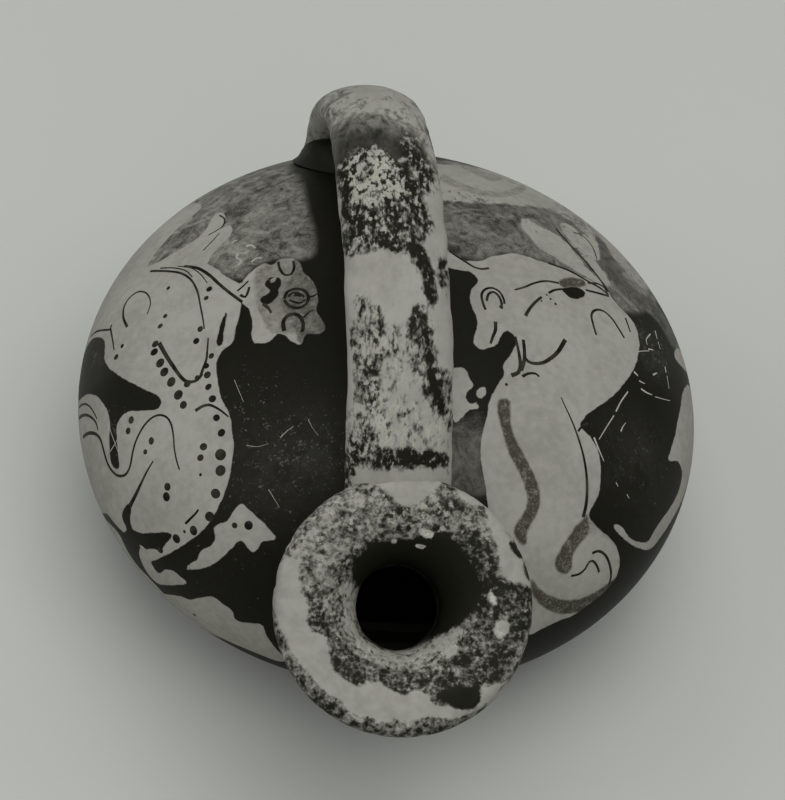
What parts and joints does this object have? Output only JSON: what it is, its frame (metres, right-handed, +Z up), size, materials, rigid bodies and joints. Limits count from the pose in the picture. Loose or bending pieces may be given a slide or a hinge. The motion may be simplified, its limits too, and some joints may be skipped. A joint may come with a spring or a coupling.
{
  "type": "askos vessel",
  "caption": "Low closed clay oil jug with a domed top, a slanting spout with a wide funnel mouth, an arching strap handle and red-figure animal painting.",
  "frame": {"origin": "middle of the flat underside of the foot, on the axis of the body", "axes": "+Z up along the axis of the body, the spout points towards -Y"},
  "size_m": [0.09, 0.1093, 0.0717],
  "materials": {
    "fired_clay": "bare fired clay, fine and matt",
    "black_gloss": "black clay slip over fired clay, worn, low sheen"
  },
  "bodies": {
    "root": {"foot_disc": "fired_clay", "lower_bowl": "black_gloss", "seam_coil": "black_gloss", "upper_dome": "black_gloss", "spout_neck": "black_gloss", "spout_coil": "black_gloss", "mouth_lip": "black_gloss", "strap_handle": "black_gloss", "handle_coil": "black_gloss", "handle_wad": "black_gloss"}
  },
  "joints": []
}
